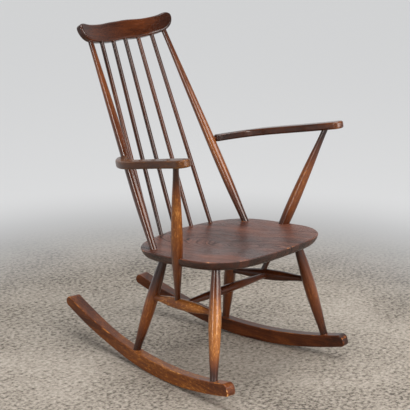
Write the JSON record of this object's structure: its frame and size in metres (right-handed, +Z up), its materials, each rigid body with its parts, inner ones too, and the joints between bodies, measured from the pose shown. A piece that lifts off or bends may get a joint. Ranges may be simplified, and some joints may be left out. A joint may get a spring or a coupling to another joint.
{
  "type": "rocking chair",
  "caption": "Spindle-back wooden rocking chair with a curved crest rail, dished seat, flat bowed arms and splayed turned legs on two arc-shaped rockers.",
  "frame": {"origin": "on the floor, under the middle of the chair's bounding box, with the chair at rest on its rockers", "axes": "+Z up, -Y is the way a sitter faces, +X is the sitter's left"},
  "size_m": [0.6632, 0.7384, 0.9418],
  "materials": {
    "seat_wood": "satin lacquer over dark stain",
    "frame_wood": "satin lacquer over dark stain",
    "dowel_wood": "raw"
  },
  "bodies": {
    "root": {"seat": "seat_wood", "crest_rail": "frame_wood", "back_post_left": "frame_wood", "back_post_right": "frame_wood", "spindle_1": "frame_wood", "spindle_2": "frame_wood", "spindle_3": "frame_wood", "spindle_4": "frame_wood", "spindle_5": "frame_wood", "arm_left": "frame_wood", "arm_right": "frame_wood", "arm_post_left": "frame_wood", "arm_post_right": "frame_wood", "leg_front_left": "frame_wood", "leg_front_right": "frame_wood", "leg_back_left": "frame_wood", "leg_back_right": "frame_wood", "side_stretcher_left": "frame_wood", "side_stretcher_right": "frame_wood", "cross_stretcher": "frame_wood", "rocker_left": "frame_wood", "rocker_right": "frame_wood", "arm_dowels": "dowel_wood", "arm_post_dowels": "dowel_wood"}
  },
  "joints": []
}
